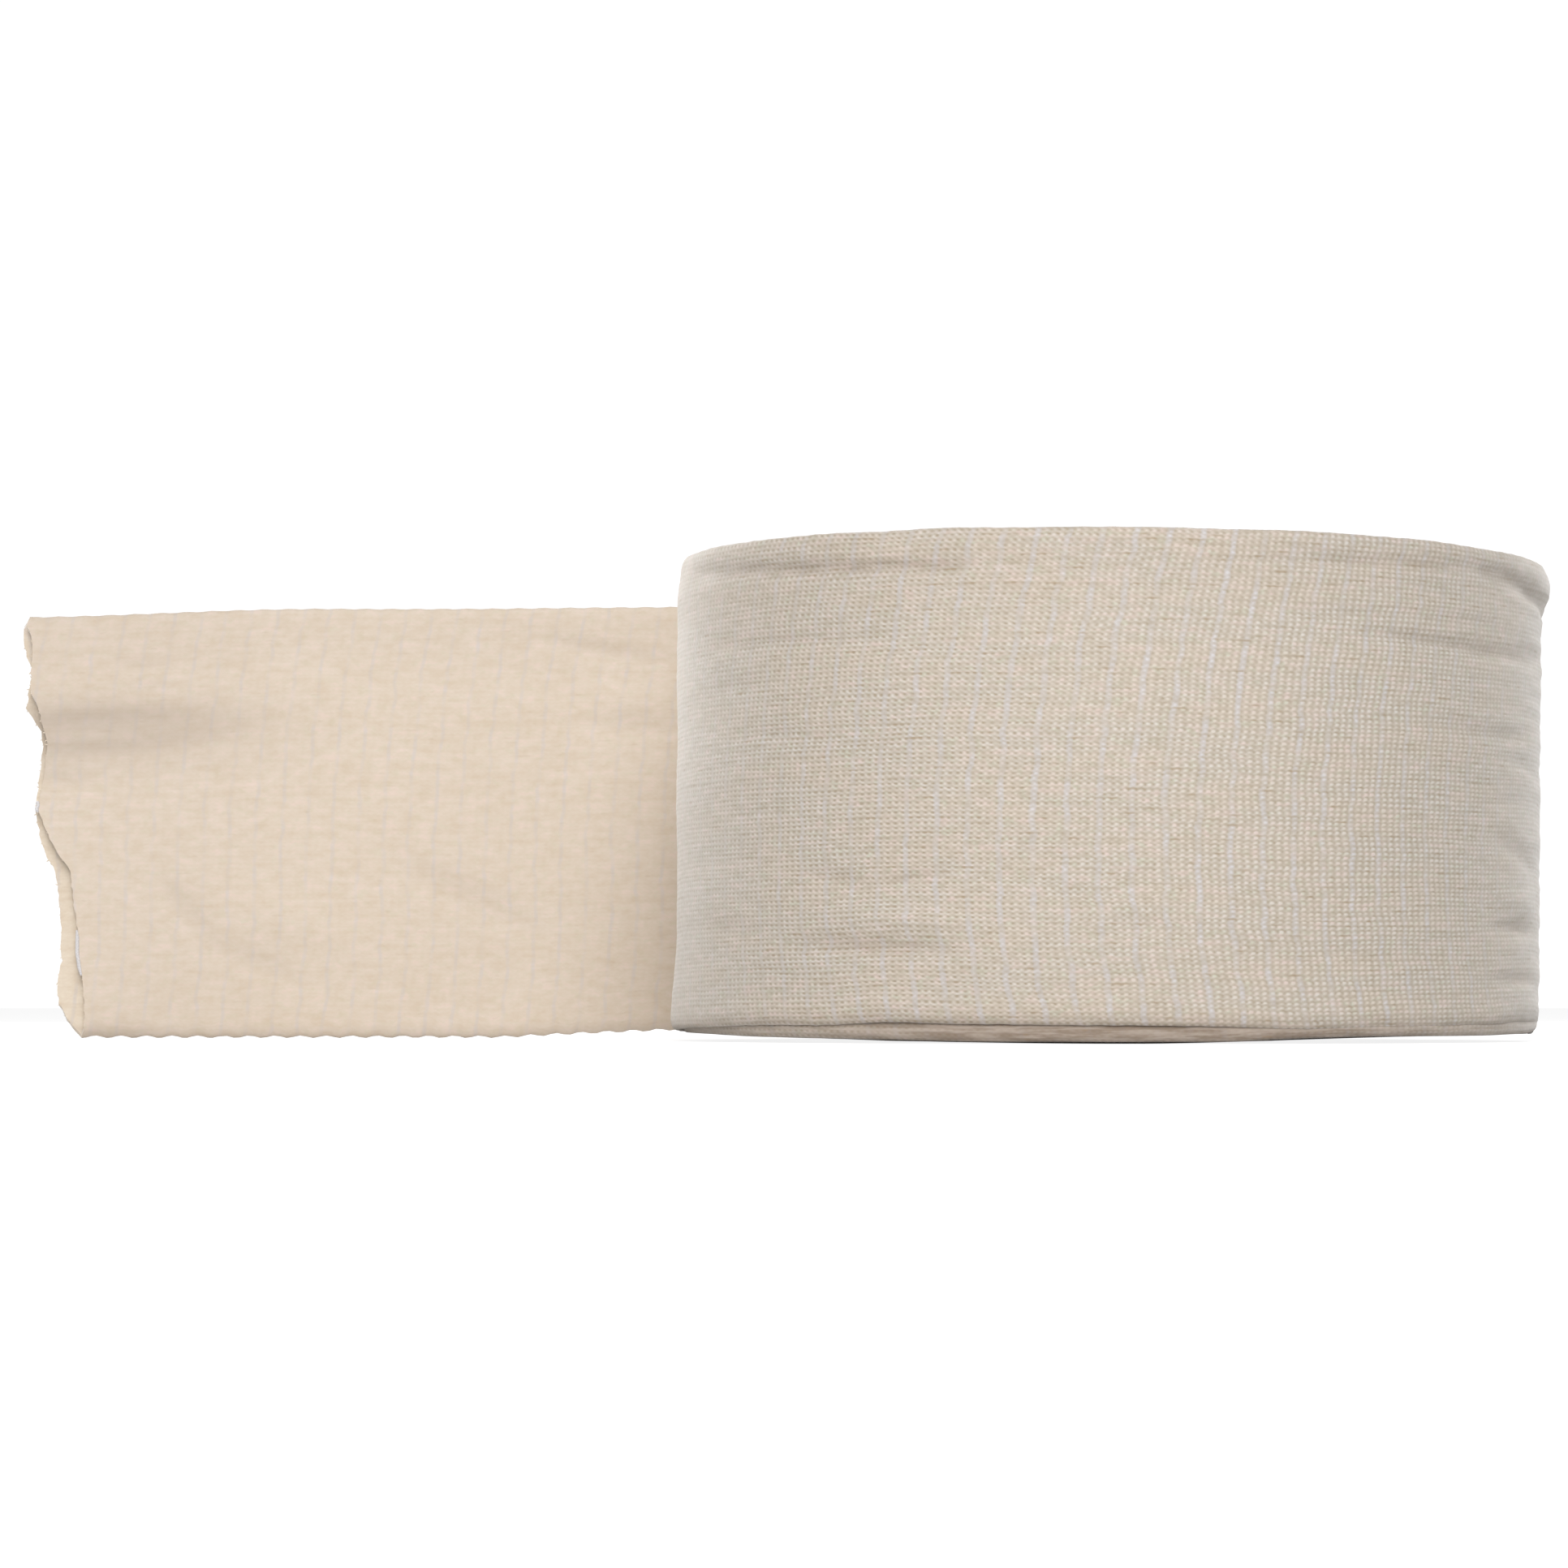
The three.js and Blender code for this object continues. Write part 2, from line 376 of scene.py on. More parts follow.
def round_tube(levels: Sequence[float]) -> list[Place]:
    """The places round the tube at these levels: up the outward layer and down the inward one."""
    return [(Layer.OUTWARD, level) for level in levels] + [(Layer.INWARD, level) for level in levels[-2:0:-1]]


@dataclass(frozen=True)
class Fold:
    """The rounding of the cloth at its two folds."""

    reach: float = 1.7 * MM
    rows: tuple[float, ...] = (0.0, 0.03, 0.12, 0.28, 0.52, 0.95, 1.5, 2.1, 2.8, 3.5, 4.2, 4.9)

    def share(self, distance: float) -> float:
        """The share of the full thickness at a distance from the nearer fold."""
        off = 1 - min(distance / self.reach, 1.0)
        return math.sqrt(max(1 - off * off, 0.0))

    def levels(self, height: float, between: int) -> list[float]:
        """Levels from fold to fold: close together near each fold, and even between them.

        Args:
            height: height of the cloth.
            between: number of rows between the two folds.

        Returns:
            The levels in rising order, from 0 to 1.
        """
        near = [distance * MM / height for distance in self.rows]
        step = (1 - 2 * near[-1]) / (between + 1)
        middle = [near[-1] + step * (i + 1) for i in range(between)]
        return near + middle + [1 - level for level in reversed(near)]


@dataclass(frozen=True)
class Crease:
    """A soft trough, or a ridge where its depth is below nought, between two places on the cloth.

    A place is how far along the cloth, in turns on the roll and in millimetres on the loose end, and the
    level. Half the width and the depth are in millimetres.
    """

    start_along: float
    start_level: float
    end_along: float
    end_level: float
    half: float
    depth: float

    def at(self, along: float, level: float, size: Pair) -> float:
        """How far the cloth moves outwards there, in metres.

        Args:
            along: the place along the cloth.
            level: its level.
            size: millimetres of cloth for one unit along and for one level.
        """
        start = Vector((self.start_along * size[0], self.start_level * size[1]))
        run = Vector((self.end_along * size[0], self.end_level * size[1])) - start
        place = Vector((along * size[0], level * size[1])) - start
        share = min(max(place.dot(run) / run.length_squared, 0.0), 1.0)
        off = (place - run * share).length
        ends = 0.35 + 0.65 * math.sin(math.pi * share)
        return -self.depth * MM * ends * hump(off, 0.0, self.half) if off < self.half else 0.0


ROLL_CREASES = tuple(starmap(Crease, (
    # Under the upper fold, left and right
    (0.705, 0.950, 0.560, 0.915, 1.9, 0.69),
    (0.640, 0.930, 0.520, 0.925, 1.6, 0.31),
    (0.460, 0.940, 0.330, 0.955, 1.7, 0.50),
    (0.350, 0.950, 0.255, 0.900, 2.6, 1.19),
    # Flares of the upper and the lower fold on the right
    (0.290, 0.950, 0.190, 0.950, 7.5, -1.70),
    (0.300, 0.780, 0.200, 0.785, 6.0, -0.20),
    (0.330, 0.000, 0.190, 0.000, 3.0, 0.40),
    # Right side, from the top down
    (0.410, 0.868, 0.340, 0.862, 2.0, -0.40),
    (0.415, 0.805, 0.345, 0.780, 1.8, 0.64),
    (0.360, 0.785, 0.285, 0.782, 2.2, 0.56),
    (0.440, 0.835, 0.400, 0.840, 1.5, 0.29),
    (0.385, 0.628, 0.310, 0.600, 2.0, 0.45),
    (0.330, 0.560, 0.290, 0.535, 1.9, 0.32),
    (0.345, 0.470, 0.300, 0.480, 1.8, 0.26),
    (0.345, 0.400, 0.295, 0.330, 3.0, 0.56),
    (0.345, 0.262, 0.300, 0.255, 2.0, -0.40),
    (0.350, 0.205, 0.295, 0.198, 2.0, 0.72),
    (0.350, 0.098, 0.295, 0.090, 1.8, 0.64),
    # Left side, from the top down
    (0.680, 0.785, 0.583, 0.782, 1.7, 0.34),
    (0.680, 0.700, 0.640, 0.705, 2.0, 0.28),
    (0.665, 0.600, 0.610, 0.585, 1.8, 0.25),
    (0.625, 0.312, 0.594, 0.280, 1.4, 0.59),
    (0.594, 0.280, 0.565, 0.308, 1.4, 0.53),
    (0.612, 0.218, 0.550, 0.205, 2.4, -0.49),
    (0.635, 0.172, 0.560, 0.145, 2.2, 0.67),
    (0.690, 0.215, 0.650, 0.190, 2.4, 0.35),
    # Front, below the middle
    (0.515, 0.200, 0.475, 0.198, 3.0, 0.23),
    (0.440, 0.150, 0.380, 0.135, 2.6, 0.23),
    # The hem above the lower fold stands out a little
    (0.700, 0.030, 0.500, 0.035, 3.0, -0.20),
    (0.520, 0.035, 0.340, 0.030, 3.0, -0.15),
)))

LOOSE_CREASES = tuple(starmap(Crease, (
    # Fanning out from the cut
    (184.0, 0.760, 140.0, 0.735, 5.0, 0.50),
    (183.0, 0.748, 158.0, 0.742, 2.8, 0.35),
    (184.0, 0.712, 166.0, 0.715, 1.8, -0.20),
    (182.0, 0.672, 146.0, 0.698, 2.8, 0.35),
    (168.0, 0.880, 158.0, 0.872, 1.8, 0.35),
    (166.0, 0.822, 156.0, 0.826, 1.8, 0.30),
    (182.0, 0.620, 172.0, 0.600, 2.6, 0.45),
    # One long soft fold across, and a fainter one towards the roll
    (160.0, 0.380, 150.0, 0.215, 3.6, 0.55),
    (150.0, 0.215, 134.0, 0.130, 3.6, 0.50),
    (150.0, 0.330, 122.0, 0.200, 6.5, -0.55),
    (122.0, 0.440, 92.0, 0.240, 5.0, 0.45),
    # Beside the roll
    (94.0, 0.925, 72.0, 0.870, 2.4, 0.45),
    (84.0, 0.800, 70.0, 0.760, 4.5, -0.40),
    (92.0, 0.735, 66.0, 0.700, 3.0, 0.30),
)))


@dataclass(frozen=True)
class StitchLook:
    """How the stitches show in one place, as four waves across the cloth.

    Two waves run on the slant, one is the columns of the courses and one the rows of the wales. Strengths are
    in hundredths of brightness. The shifts say where the slanting waves meet the other two, in whole waves.
    The last number is how well the elastic yarns show, from 0 to 1.
    """

    turns: float
    rising: float
    falling: float
    columns: float
    rows: float
    rising_shift: float
    falling_shift: float
    elastic: float

    def toward(self, other: StitchLook, share: float) -> StitchLook:
        """The look a share of the way from this one to another."""
        mine, theirs = astuple(self), astuple(other)
        return StitchLook(*(lerp(a, b, share) for a, b in zip(mine, theirs)))

    def at_level(self, level: float) -> StitchLook:
        """The look at a level: the rising slant fades upwards, and the falling one at the lower fold."""
        up = smoothstep(level, 0.3, 0.95)
        return replace(
            self,
            rising=self.rising * lerp(1.2, 0.5, up),
            falling=self.falling * lerp(0.8, 1.0, smoothstep(level, 0.05, 0.3)),
            rows=self.rows * lerp(1.1, 0.8, up),
        )


# From the back round the left side, the front and the right side to the back again
ROLL_LOOKS = tuple(starmap(StitchLook, (
    (1.10, 1.5, 2.0, 3.0, 4.2, 0.20, 0.32, 0.6),
    (0.80, 1.5, 2.0, 3.0, 4.2, 0.30, 0.31, 0.6),
    (0.72, 1.0, 1.2, 1.8, 3.4, 0.38, 0.31, 0.3),
    (0.67, 1.9, 2.8, 3.6, 4.6, 0.38, 0.31, 0.4),
    (0.63, 2.7, 5.2, 5.0, 6.2, 0.40, 0.33, 0.7),
    (0.59, 3.1, 5.9, 3.5, 5.8, 0.40, 0.36, 0.9),
    (0.55, 3.6, 5.2, 3.2, 3.8, 0.34, 0.39, 1.0),
    (0.51, 3.6, 4.4, 3.9, 2.5, 0.15, 0.31, 1.0),
    (0.46, 3.7, 3.7, 5.4, 3.4, 0.03, 0.23, 1.0),
    (0.41, 3.6, 3.1, 6.6, 6.3, -0.03, 0.20, 0.9),
    (0.37, 2.8, 2.2, 5.2, 6.8, -0.06, 0.24, 0.7),
    (0.33, 1.5, 1.3, 2.4, 4.4, -0.06, 0.30, 0.35),
    (0.28, 0.9, 0.9, 1.3, 3.2, -0.02, 0.31, 0.25),
    (0.20, 1.5, 2.0, 3.0, 4.2, 0.20, 0.32, 0.6),
    (-0.10, 1.5, 2.0, 3.0, 4.2, 0.20, 0.32, 0.6),
)))
LOOSE_LOOK = StitchLook(0.0, 2.4, 3.0, 2.4, 3.4, 0.10, 0.30, 0.85)


def roll_look(turns: float, level: float) -> StitchLook:
    """How the stitches show on the last turn of the roll, by turns and level."""
    for before, after in zip(ROLL_LOOKS, ROLL_LOOKS[1:]):
        if turns >= after.turns:
            share = (before.turns - turns) / (before.turns - after.turns)
            return before.toward(after, share).at_level(level)
    return ROLL_LOOKS[-1].at_level(level)


def look_shades(looks: Sequence[StitchLook]) -> dict[str, list[float]]:
    """The shading values of a row of points, from how the stitches show at each."""
    rows = [asdict(look) for look in looks]
    return {key: [row[key] for row in rows] for key in rows[0] if key != "turns"}


@dataclass(frozen=True)
class LastingShade:
    """How deep the last turn and the loose end lie in lasting shade, from 0 to 1, in each kind of place."""

    roll_creases: float = 0.32
    roll_foot: float = 0.22
    loose_creases: float = 0.10
    loose_foot: float = 0.25
    upper_folds: float = 0.07
    at_cut: float = 0.33
    towards_cut: float = 0.09


@dataclass(frozen=True)
class CutRow:
    """One height of the raw cut: how far each layer reaches from the roll, and how far they part."""

    level: float
    front: float
    back: float
    gape: float


# From the lower fold up: level, reach of the front and the back layer and gape, in millimetres
RAW_CUT = tuple(starmap(CutRow, (
    (0.000, 173.6, 173.6, 0.0),
    (0.018, 173.2, 175.4, 0.9),
    (0.045, 172.9, 176.6, 1.7),
    (0.075, 172.9, 177.6, 1.9),
    (0.110, 173.2, 178.1, 2.0),
    (0.147, 173.4, 177.9, 2.1),
    (0.178, 173.9, 177.3, 2.1),
    (0.260, 174.2, 177.5, 2.0),
    (0.336, 175.1, 178.0, 1.9),
    (0.396, 175.5, 178.6, 1.8),
    (0.422, 177.0, 179.9, 1.7),
    (0.467, 179.1, 181.2, 1.9),
    (0.543, 181.4, 182.1, 1.6),
    (0.618, 180.4, 181.5, 1.7),
    (0.703, 179.7, 180.8, 1.9),
    (0.731, 180.4, 181.1, 1.8),
    (0.760, 180.8, 182.4, 1.9),
    (0.788, 181.4, 183.6, 1.8),
    (0.820, 182.6, 183.2, 1.5),
    (0.881, 182.4, 182.4, 1.3),
    (0.910, 182.2, 183.6, 1.4),
    (0.938, 182.2, 184.0, 1.3),
    (0.980, 183.2, 184.0, 0.7),
    (1.000, 182.9, 182.9, 0.0),
)))


@dataclass
class LastTurn:
    """The outermost turn and the loose end: one stretch of the flat tube, with its raw cut."""

    winding: Winding
    heights: Heights
    tip: float
    bow: Bow = field(default_factory=Bow)
    fold: Fold = field(default_factory=Fold)
    overlap: float = 0.02
    rows_between: int = 76
    roll_step: float = 2.1 * MM
    loose_step: float = 1.15 * MM
    mouth_from: float = 150 * MM
    mouth_step: float = 1.3 * MM
    wall: float = 0.6 * MM
    loose_top: float = 75 * MM
    touch_down: float = 100 * MM
    shade: LastingShade = field(default_factory=LastingShade)
    side_flare: float = 1.0 * MM
    side_swell: float = 0.65 * MM
    ragged: float = 0.3 * MM
    # Unevenness of the last turn's face: height in millimetres, how often along a turn and up, and its seed
    uneven: tuple[tuple[float, ...], ...] = ((0.07, 60, 90, 3.1), (0.19, 10, 7, 4.9))
    cut: tuple[CutRow, ...] = RAW_CUT

    def _cut_at(self, level: float) -> CutRow:
        """The row of the cut at a level, eased between the rows of its table, in metres."""
        place = next((i for i, row in enumerate(self.cut) if row.level >= level), len(self.cut) - 1)
        below, above = self.cut[max(place - 1, 0)], self.cut[max(place, 1)]
        share = (level - below.level) / max(above.level - below.level, 1e-6)
        ragged = self.ragged * smoothstep(level, 0.0, 0.03) * smoothstep(level, 1.0, 0.97)
        return CutRow(
            level,
            lerp(below.front, above.front, share) * MM + ragged * ripple(level * 110, 0.0, 1.3),
            lerp(below.back, above.back, share) * MM + ragged * ripple(level * 110, 4.0, 1.3),
            lerp(below.gape, above.gape, share) * MM,
        )

    def _roll_creases(self, turns: float, level: float) -> float:
        """How far the creases move the last turn outwards."""
        size = (FULL_TURN * self.winding.middle_radius / MM, self.heights.inner_top / MM)
        return sum(crease.at(turns, level, size) for crease in ROLL_CREASES)

    def _loose_creases(self, along: float, level: float) -> float:
        """How far the creases move the loose end towards the front."""
        size = (1.0, self.loose_top / MM)
        return sum(crease.at(along / MM, level, size) for crease in LOOSE_CREASES)

    def _face_relief(self, turns: float, level: float) -> float:
        """How far the outward face of the last turn stands proud of its spiral."""
        out = self._roll_creases(turns, level)
        out += self.side_flare * hump(turns, 0.75, 0.1) * smoothstep(level, 0.22, 0.0)
        out += self.side_swell * hump(turns, 0.76, 0.17) * smoothstep(level, 1.0, 0.9)
        out += (0.35 + 0.9 * (level - 0.5)) * MM * hump(turns, 0.25, 0.15)
        side = hump(turns, 0.28, 0.15)
        out += (0.07 + 0.20 * side) * MM * ripple(turns * 30, level * 42, 2.2)
        for height, along, up, seed in self.uneven:
            out += height * MM * ripple(turns * along, level * up, seed)
        return out

    def _roll_point(self, along: float, layer: Layer, level: float) -> Point:
        """A point of the turn that is wound on the roll."""
        length = -along
        turns = self.winding.turns_at(length)
        foot = self.heights.foot(turns, length, math.sin(FULL_TURN * turns))
        top = self.heights.top(turns, length)
        height = top - foot
        from_fold = min(level, 1 - level) * height
        wrapped = smoothstep(turns, 1.02, 0.9)
        relief = self._face_relief(turns, level) * wrapped
        if layer is Layer.INWARD:
            relief = 0.5 * max(relief, 0.0)
        proud = layer.value * self.winding.thickness / 2 * self.fold.share(from_fold) + relief
        edge = self._edge_wander(along, level) * wrapped
        return self.winding.place(turns, proud, lerp(foot, top, level) + edge)

    def _edge_wander(self, along: float, level: float) -> float:
        """How far the folds rise and fall along the cloth, with a pull at each elastic yarn."""
        at_fold = hump(level, 0.0, 0.12) - hump(level, 1.0, 0.12)
        wander = 0.22 * MM * ripple(along / (14 * MM), 0.0, 5.5)
        pull = 0.5 + 0.5 * math.cos(FULL_TURN * along / ROLL_ELASTIC_PITCH)
        return at_fold * (wander + 0.08 * MM * pull)

    def _loose_middle(self, along: float, level: float) -> float:
        """How far back the middle of the loose end stands."""
        drift = 2.6 * MM * smoothstep(along, 0.0, 184 * MM)
        started = smoothstep(along, 5 * MM, 45 * MM)
        wave = 1.0 * MM * started * math.sin(FULL_TURN * along / (95 * MM))
        crease = -self._loose_creases(along, level)
        overhang = -1.6 * MM * smoothstep(level, 0.64, 0.84) * smoothstep(along, 105 * MM, 178 * MM)
        soft = 0.45 * MM * ripple(along / (38 * MM), level * 2.6, 7.7) * started
        fine = 0.09 * MM * ripple(along / (9 * MM), level * 18, 9.1) * started
        return self.winding.middle_radius + drift + wave + crease + overhang + soft + fine

    def _loose_point(
        self, along: float, layer: Layer, level: float, opening: float = 0.0, lining: bool = False
    ) -> Point:
        """A point of the loose end.

        Args:
            along: distance from where the loose end leaves the roll.
            layer: the layer of the tube.
            level: from 0 on the lower fold to 1 on the upper fold.
            opening: how far the two layers have parted there.
            lining: True on the inside of the tube.

        Returns:
            The point in the row frame.
        """
        touching = min(max(along / self.touch_down, 0.0), 1.0)
        inset = self.wall if lining else 0.0
        drop = 1.6 * MM * smoothstep(along, 130 * MM, 184 * MM)
        foot = self.heights.outer_foot * (1 - touching * touching) + inset
        top = lerp(self.heights.outer_top, self.loose_top, touching) - drop - inset
        rounded = self.fold.share(min(level, 1 - level) * (top - foot))
        half = opening / 2
        if not lining:
            half = max(self.winding.thickness / 2, half + self.wall) * rounded
        pull = 0.5 + 0.5 * math.cos(FULL_TURN * (along - self.bow.outward_foot) / LOOSE_ELASTIC_PITCH)
        scallop = 0.42 * MM * pull * hump(level, 0.0, 0.1) * smoothstep(along, 0.0, 30 * MM)
        scallop -= 0.16 * MM * pull * hump(level, 1.0, 0.08)
        sideways = self._loose_middle(along, level) + layer.value * half
        return (-along, sideways, lerp(foot, top, level) + scallop)

    def _shades(
        self, loop: Sequence[Place], alongs: Sequence[float], lining: bool = False
    ) -> dict[str, list[float]]:
        """Shading values round a ring.

        Args:
            loop: the places round the tube.
            alongs: the distance along the cloth of each place.
            lining: True on the inside of the tube.

        Returns:
            How loose the cloth is, whether this is its inside, how far it lies in lasting shade, and how
            the stitches show.
        """
        looks, shaded = [], []
        for (_, level), along in zip(loop, alongs):
            turns = self.winding.turns_at(-along)
            looks.append(roll_look(turns, level) if along < 0 else LOOSE_LOOK)
            shaded.append(self._shade_at(along, turns, level))
        shades = {
            "loose": [smoothstep(along, -25 * MM, 15 * MM) for along in alongs],
            "inside": [float(lining)] * len(loop),
            "shaded": shaded,
        }
        return shades | look_shades(looks)

    def _shade_at(self, along: float, turns: float, level: float) -> float:
        """How far a place lies in lasting shade: in the creases, near the folds and towards the cut."""
        if along < 0:
            dip = smoothstep(-self._roll_creases(turns, level), 0.05 * MM, 0.75 * MM)
            folds = self.shade.roll_foot * smoothstep(level, 0.035, 0.0)
            folds += self.shade.upper_folds * smoothstep(level, 0.75, 0.93)
            return self.shade.roll_creases * dip + folds
        dip = smoothstep(-self._loose_creases(along, level), 0.05 * MM, 0.5 * MM)
        folds = self.shade.loose_foot * smoothstep(level, 0.04, 0.0) * smoothstep(along, 0.0, 20 * MM)
        folds += self.shade.upper_folds * smoothstep(level, 0.80, 0.93)
        cut = self.shade.at_cut * hump(level, 0.72, 0.14) * smoothstep(along, 122 * MM, 182 * MM)
        cut += self.shade.towards_cut * smoothstep(along, 125 * MM, 165 * MM)
        return self.shade.loose_creases * dip + folds + cut

    def _stations(self) -> list[float]:
        """Distances along the cloth, from inside the winding to where the mouth begins."""
        start = -self.winding.length_to(1 + self.overlap)
        roll = [start + self.roll_step * i for i in range(int(-start / self.roll_step))]
        loose = [self.loose_step * i for i in range(int(self.mouth_from / self.loose_step))]
        return roll + loose

    def build(self) -> Object:
        """Makes the last turn and loose end, as one sheet, and returns its object."""
        cloth = ClothMesh("outer_turn_and_loose_end")
        loop = round_tube(self.fold.levels(self.loose_top, self.rows_between))

        def ring(points: Sequence[Point], alongs: Sequence[float], lining: bool = False) -> Ring:
            """Adds one ring of the sheet."""
            return cloth.ring(points, self.bow.knit(loop, alongs), self._shades(loop, alongs, lining))

        rings: list[Ring] = []
        for along in self._stations():
            point_at = self._roll_point if along < 0 else self._loose_point
            rings.append(ring([point_at(along, *place) for place in loop], [along] * len(loop)))
        lining: list[Ring] = []
        steps = round((self.tip - self.mouth_from) / self.mouth_step)
        for i in range(steps + 1):
            rings.append(ring(*self._mouth_ring(loop, i / steps, False)))
            lining.append(ring(*self._mouth_ring(loop, i / steps, True), lining=True))
        cloth.tube(rings + lining[::-1])
        cloth.cap(lining[0], flip=False)
        cloth.cap(rings[0], flip=True)
        return cloth.build()

    def _mouth_ring(
        self, loop: Sequence[Place], share: float, lining: bool
    ) -> tuple[list[Point], list[float]]:
        """One ring of the mouth, at a share of the way to the cut.

        Args:
            loop: the places round the tube.
            share: from 0 where the mouth begins to 1 at the cut.
            lining: True on the inside of the tube.

        Returns:
            The points of the ring, and their distances along the cloth.
        """
        points, alongs = [], []
        for layer, level in loop:
            row = self._cut_at(level)
            reach = row.front if layer is Layer.INWARD else row.back
            if level in (0.0, 1.0):
                reach = (row.front + row.back) / 2
            along = lerp(self.mouth_from, reach, share)
            opening = max(0.04 * MM, row.gape * share**1.7)
            points.append(self._loose_point(along, layer, level, opening, lining))
            alongs.append(along)
        return points, alongs

    def cut_place(self, layer: Layer, level: float) -> Vector:
        """The place on the raw edge of a layer, in the middle of its wall."""
        row = self._cut_at(level)
        reach = row.front if layer is Layer.INWARD else row.back
        sides = [self._loose_point(reach, layer, level, row.gape, lining) for lining in (False, True)]
        return (Vector(sides[0]) + Vector(sides[1])) / 2


@dataclass
class WoundTurns:
    """All the turns under the last one: the flat tube wound to its tight core."""

    winding: Winding
    heights: Heights
    bow: Bow = field(default_factory=Bow)
    fold: Fold = field(default_factory=lambda: Fold(reach=1.2 * MM, rows=(0.0, 0.15, 0.6, 1.6, 2.8)))
    start: float = 1.0203
    bulge: float = 0.85 * MM
    core_radius: float = 0.95 * MM
    longest_step: float = 3.0 * MM
    widest_angle: float = math.radians(15)

    def _stations(self) -> list[float]:
        """Turns at each section, closer together where the winding is tight."""
        turns, found = self.start, []
        while True:
            radius = self.winding.middle_radius - self.winding.pitch * turns
            if radius < self.core_radius:
                return found
            found.append(turns)
            turns += min(self.widest_angle, self.longest_step / radius) / FULL_TURN

    def _bulge_at(self, turns: float, height: float) -> float:
        """How far the turn under the last one is pressed outwards, at a height above its lower fold."""
        sides = 1 + 0.5 * (hump(turns, 1.25, 0.1) + hump(turns, 1.75, 0.1)) + 0.3 * hump(turns, 1.4, 0.12)
        return self.bulge * sides * smoothstep(turns, 2.1, 1.8) * smoothstep(height, 3.2 * MM, 1.6 * MM)

    def build(self) -> Object:
        """Makes the wound turns as one long sheet and returns its object."""
        cloth = ClothMesh("wound_turns")
        loop = round_tube(self.fold.levels(self.heights.inner_top, 1))
        rings = []
        for turns in self._stations():
            length = self.winding.length_to(turns)
            radius = self.winding.middle_radius - self.winding.pitch * turns
            sideways = radius * math.sin(FULL_TURN * turns) / self.winding.radius
            foot, top = self.heights.foot(turns, length, sideways), self.heights.top(turns, length)
            points = []
            for layer, level in loop:
                share = self.fold.share(min(level, 1 - level) * (top - foot))
                half = layer.value * share * self.winding.thickness / 2
                proud = half + self._bulge_at(turns, level * (top - foot))
                points.append(self.winding.place(turns, proud, lerp(foot, top, level)))
            count = len(loop)
            deepest = lerp(0.85, 0.45, smoothstep(abs(sideways), 0.3, 0.8)) * smoothstep(turns, 5.0, 3.0)
            shades = {
                "loose": [0.0] * count,
                "inside": [0.0] * count,
                "shaded": [deepest * smoothstep(level, 0.10, 0.03) for _, level in loop],
            }
            shades |= look_shades([roll_look(turns % 1.0, level) for _, level in loop])
            rings.append(cloth.ring(points, self.bow.knit(loop, [-length] * count), shades))
        cloth.tube(rings[::-1])
        cloth.cap(rings[0], flip=False)
        cloth.cap(rings[-1], flip=True)
        return cloth.build()


